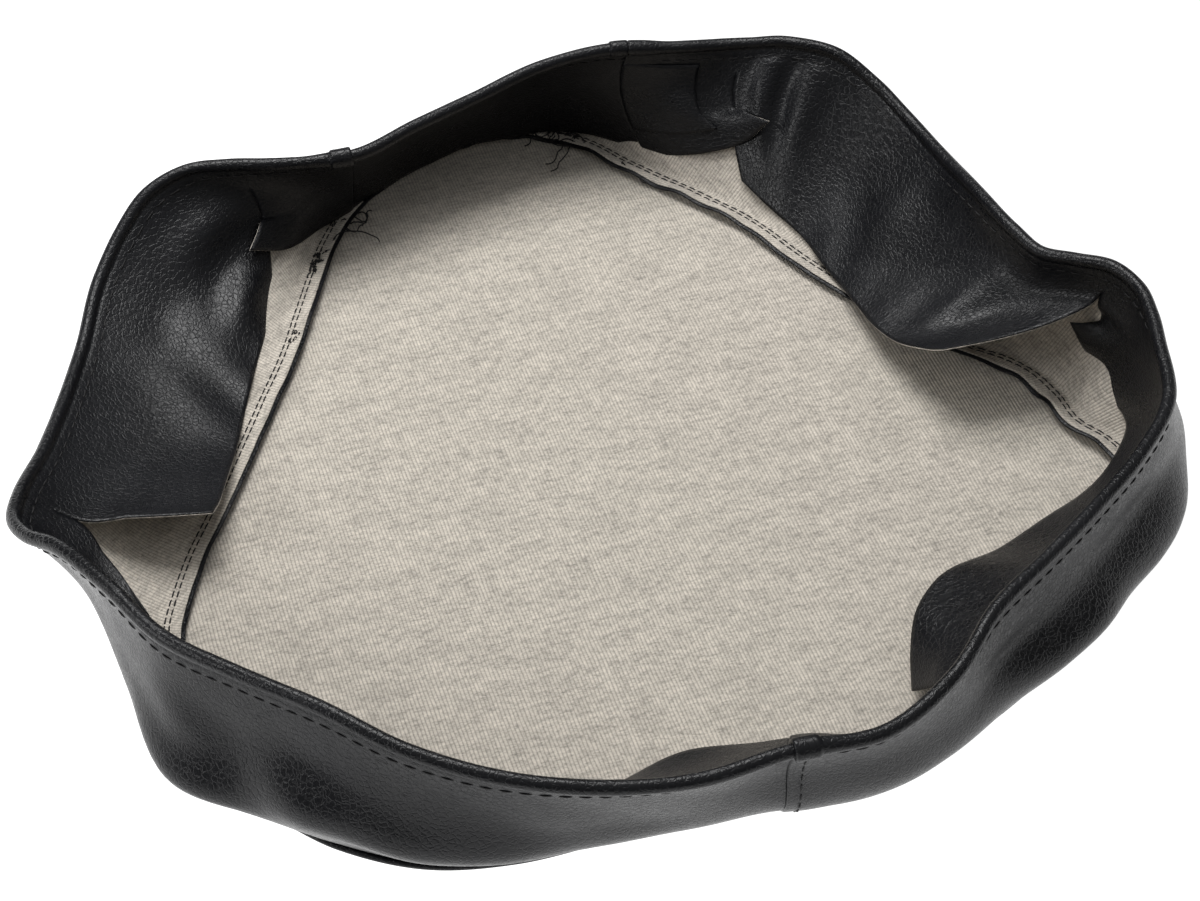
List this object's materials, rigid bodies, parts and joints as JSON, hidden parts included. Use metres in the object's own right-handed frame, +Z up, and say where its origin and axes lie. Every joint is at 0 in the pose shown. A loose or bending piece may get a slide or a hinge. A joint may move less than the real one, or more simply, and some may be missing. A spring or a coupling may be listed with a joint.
{
  "type": "spare tire cover",
  "caption": "Soft slip-on cover for a spare wheel: round face panel, tread wrap and a loose back flap, lying slumped and open side up.",
  "frame": {"origin": "on the floor under the middle of the face panel, where the cover rests face down", "axes": "+X to the right seen from the front cross seam and along the cover's longest spread, +Y to the back, +Z up through the open side"},
  "size_m": [0.5968, 0.5824, 0.0963],
  "materials": {
    "black_vinyl": "soft black leather-grain vinyl, semi-gloss with fine wrinkles",
    "grey_knit": "heather light grey fine-ribbed knit backing",
    "black_thread": "black bonded polyester sewing thread",
    "cord_core": "off-white extruded cord, matt"
  },
  "bodies": {
    "root": {"face_panel_knit": "grey_knit", "face_panel_vinyl": "black_vinyl", "face_seam_inner_thread": "black_thread", "face_seam_outer_thread": "black_thread", "filler_seam_thread": "black_thread", "front_seam_thread": "black_thread", "rear_seam_thread": "black_thread", "rim_bobbin_thread": "black_thread", "rim_cord": "cord_core", "rim_needle_thread": "black_thread", "welt_cord": "cord_core", "welt_cover": "black_vinyl", "wrap_filler_knit": "grey_knit", "wrap_filler_vinyl": "black_vinyl", "wrap_left_knit": "grey_knit", "wrap_left_vinyl": "black_vinyl", "wrap_right_knit": "grey_knit", "wrap_right_vinyl": "black_vinyl"}
  },
  "joints": []
}
